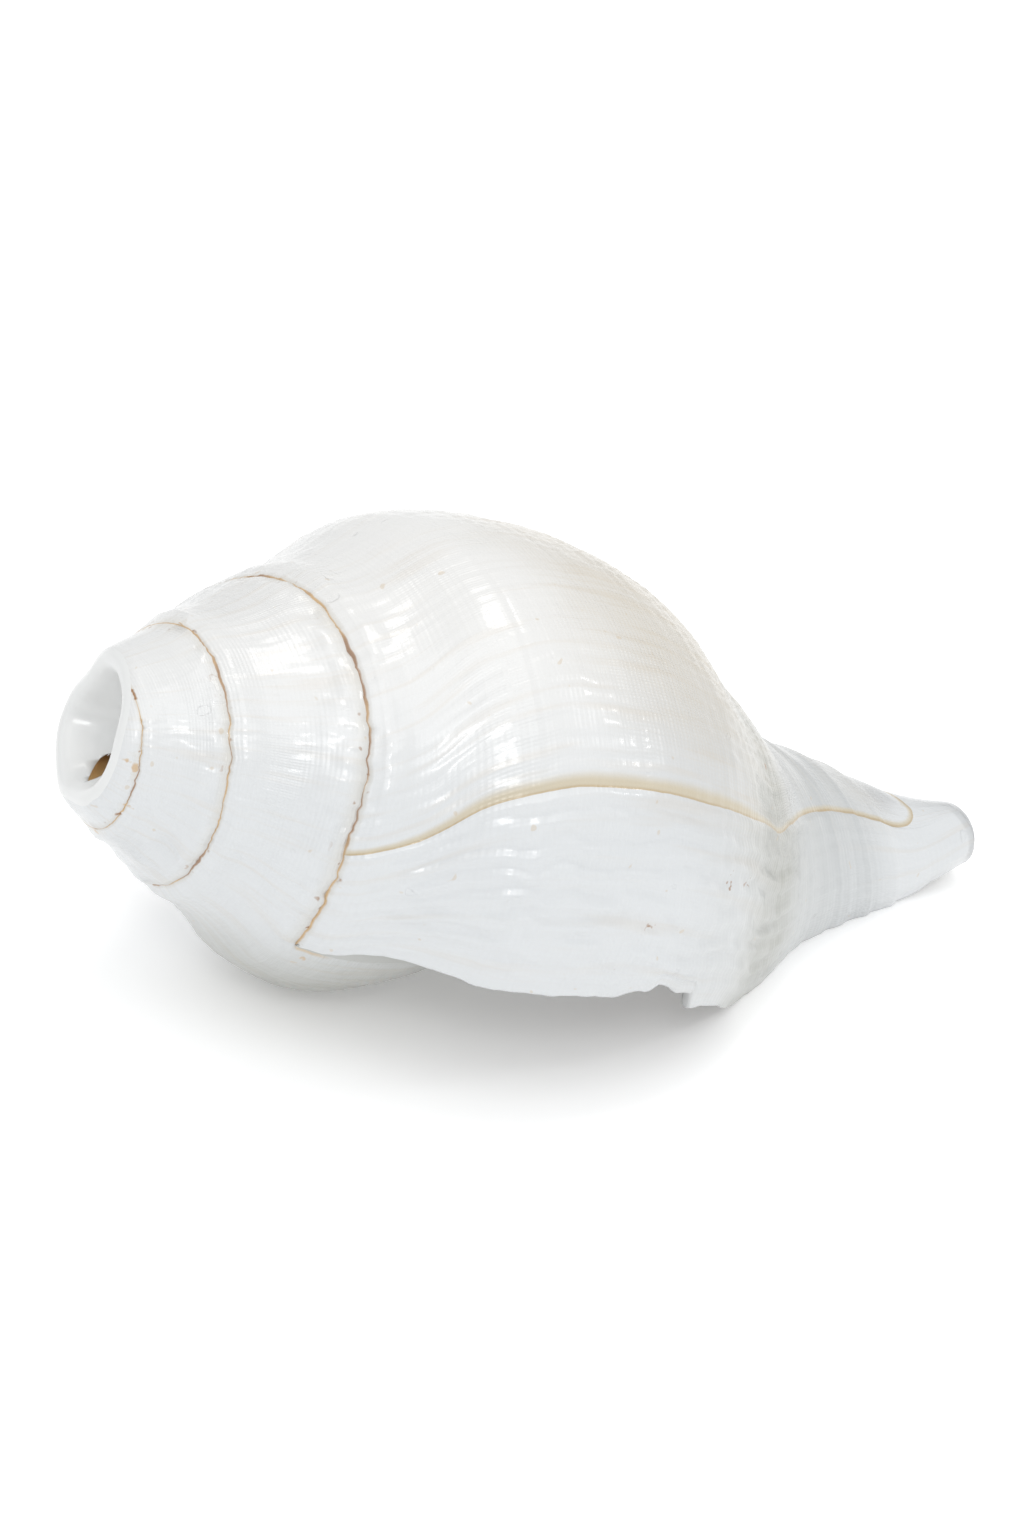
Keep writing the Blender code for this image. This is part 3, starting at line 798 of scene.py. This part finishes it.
def gap_to(spot):
    """Distance to a spot on the shell, in metres."""
    made = node("ShaderNodeVectorMath", operation="DISTANCE")
    feed(made.inputs[0], body_point)
    made.inputs[1].default_value = spot
    return made.outputs["Value"]


def stain(spot, size):
    """1 inside a small ragged spot, in mm across."""
    jagged = times(plus(grain(body_point, 3.0, 520.0), -0.5), size * 3.2 * MM)
    return fall(plus(gap_to(spot), jagged), size * 0.10 * MM, size * 0.50 * MM)


STAINS = [((-0.0746, -0.0082, 0.0493), 0.9), ((-0.0735, -0.0090, 0.0485), 1.1),
          ((-0.0738, -0.0089, 0.0423), 0.9), ((-0.0745, -0.0013, 0.0343), 1.0),
          ((-0.0473, -0.0249, 0.0409), 1.2), ((-0.0488, -0.0192, 0.0190), 1.2)]
SCRATCHES = [((0.0110, -0.0346, 0.0320), 2.0), ((0.0148, -0.0331, 0.0298), 1.8),
             ((-0.0043, -0.0402, 0.0300), 2.4), ((0.0258, -0.0158, 0.0381), 1.6),
             ((-0.0165, -0.0401, 0.0243), 1.2), ((-0.0095, -0.0406, 0.0234), 1.6)]

# The lime itself: greyer round the middle of the body, with painted light that makes it whiter and warmer on
# top, cream towards the right, painted shade that greys it near the ground, and grey on the neck, on the
# canal and on the layer that is younger than the pause
CREAM_SPOT = (0.030, 0.010, 0.058)
height_up = body_axes.outputs[2]
# Greyer round the middle of the body
grey_middle = times(fall(off(x_mm, 108.0), 6.0, 26.0), fall(off(step, -95.0), 40.0, 75.0))
colour = tint(COOL_WHITE, times(grey_middle, plus(0.55, times(broad_streaks, 0.9))), MIDDLE_GREY)
# Painted light: whiter and warmer towards the top
colour = tint(colour, times(fall(height_up, 0.070, 0.042), 0.75), PAINTED_TOP_LIGHT)
creamy = fall(plus(gap_to(CREAM_SPOT), times(cloud, 0.02), -0.01), 0.020, 0.058)
# Painted shade: the older whorls grey towards the ground
painted_low_shade = times(fall(height_up, 0.004, 0.028), fall(step, -306.0, -280.0))
colour = tint(colour, times(creamy, 0.75, plus(0.5, times(streaks, 0.9))), CREAM)
colour = tint(colour, times(painted_low_shade, plus(0.55, times(streaks, 0.7))), NECK_GREY)
cloth = plus(times(fall(threads, 1.0, -0.2), 0.5), times(fall(lines, 1.0, 0.1), 0.4))
colour = tint(colour, times(cloth, plus(0.02, times(creamy, 0.34))), SEAM_TAN)
colour = tint(colour, times(fall(streaks, 0.72, 0.5), 0.12), SEAM_TAN)
neck = times(fall(off(x_mm, 132.0), 3.0, 15.0), plus(0.30, times(fall(step, -70.0, -110.0), 0.70)))
neck_streaks = plus(0.60, times(fall(broad_streaks, 0.36, 0.62), 0.30))
colour = tint(colour, times(neck, neck_streaks, open_face), NECK_GREY)
canal_grey = times(fall(x_mm, 146.0, 134.0), fall(x_mm, 158.0, 168.0))
canal_streaks = plus(0.65, times(fall(spirals, 0.35, 0.62), 0.25))
colour = tint(colour, times(canal_grey, canal_streaks, open_face), CANAL_GREY)
young = times(fall(step, PAUSE_AT + 1.0, PAUSE_AT), fall(off(x_mm, 130.0), 4.0, 30.0))
colour = tint(colour, times(young, plus(0.10, times(broad_streaks, 0.30)), open_face), NECK_GREY)

# The pause in growth: gold lime left bare above the edge of the younger, whiter layer. Over the
# canal's old tip the edge turns back in a round corner.
above = times(plus(times(step, -1.0), PAUSE_AT, times(fine_cloud, 0.8), -0.4), mm_per_degree)
before_tip = plus(times(x_mm, -1.0), PAUSE_TIP_X)
short = work("MAXIMUM", plus(times(above, -1.0), TIP_ROUND), 0.0)
short_tip = work("MAXIMUM", plus(times(before_tip, -1.0), TIP_ROUND), 0.0)
corner = work("SQRT", plus(times(short, short), times(short_tip, short_tip)))
from_edge = plus(TIP_ROUND, times(corner, -1.0))
wide = plus(1.0, times(fall(off(x_mm, 92.0), 18.0, 38.0), 1.3))
older_side = fall(from_edge, 0.06, -0.06)
in_view = fall(step, -140.0, -170.0)
pause = times(older_side, fall(work("DIVIDE", from_edge, wide), 0.35, 1.15))
colour = tint(colour, times(pause, 0.85, open_face, in_view), PAUSE_GOLD)
edge_line = times(older_side, fall(from_edge, 0.10, 0.45), plus(0.25, times(fine_cloud, 0.9)))
colour = tint(colour, times(edge_line, 0.75, open_face, in_view), PAUSE_EDGE)

# Dirt in the seams, in patches of brown and gold, and specks of it beside them
ragged = times(fine_cloud, 0.5)
seam_near = plus(fall(from_seam, 0.1, 0.9), fall(to_seam, 0.3, 4.2))
colour = tint(colour, times(seam_near, plus(0.04, times(fine_cloud, 0.55)), open_face), CREAM)
seam_line = plus(fall(plus(from_seam, ragged), 0.26, 0.50), fall(plus(to_seam, ragged), 0.34, 0.66))
dark_dirt = fall(grain(body_point, 2.0, 90.0), 0.42, 0.56)
colour = tint(colour, times(seam_line, 0.8, open_face), tint(SEAM_GOLD, dark_dirt, SEAM_BROWN))
specks = times(fall(grain(body_point, 1.0, 700.0), 0.24, 0.32), seam_near)
colour = tint(colour, times(specks, 0.9, open_face), SEAM_BROWN)
stains = plus(*[stain(spot, size) for spot, size in STAINS])
colour = tint(colour, times(stains, 0.65), SEAM_GOLD)

# Painted shade: a tan line in the crease under the lip's start, tan along the underside of the lip's rim,
# and grey just inside the mouth. Then scratches and freckles
painted_crease_shade = times(fall(step, -359.4, -358.2), fall(step, -359.9, -360.4))
painted_crease_shade = times(painted_crease_shade, fall(x_mm, 79.0, 77.5), fall(x_mm, 82.0, 88.0))
colour = tint(colour, times(painted_crease_shade, 0.75, open_face), SEAM_TAN)
# Painted shadow along the underside of the lip
on_rim = times(fall(depth, 0.75, 0.35), fall(work("ABSOLUTE", step), 0.2, 0.6))
painted_lip_shadow = times(on_rim, fall(x_mm, 80.0, 92.0), open_face)
colour = tint(colour, times(painted_lip_shadow, 0.55), SEAM_TAN)
# Painted shade just inside the mouth
colour = tint(colour, times(inside, fall(depth, 0.10, 0.30), 0.62), NECK_GREY)
broken = fall(grain(body_point, 1.0, 1100.0), 0.36, 0.46)
scratches = times(plus(*[stain(spot, size) for spot, size in SCRATCHES]), broken)
colour = tint(colour, times(scratches, 0.75), SEAM_BROWN)
freckles = times(fall(grain(body_point, 0.0, 650.0), 0.13, 0.18), open_face)
colour = tint(colour, times(freckles, 0.35), SEAM_TAN)

# The bowl, and the inside, peach at the mouth and gold in the passage
colour = tint(colour, fall(kind, 1.9, 1.6), BOWL_WHITE)
colour = tint(colour, times(inside, fall(depth, 0.25, 0.0)), INSIDE_PEACH)
colour = tint(colour, times(inside, fall(depth, 2.75, 2.2)), PASSAGE_GOLD)
feed(gloss.inputs["Base Color"], colour)
feed(gloss.inputs["Roughness"], plus(0.24, times(cloud, 0.14), times(seam_line, 0.3)))
gloss.inputs["IOR"].default_value = 1.53
gloss.inputs["Coat Weight"].default_value = 0.35
gloss.inputs["Coat Roughness"].default_value = 0.10
finished.materials.clear()
finished.materials.append(white)

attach(conch, "root")
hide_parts("shell")
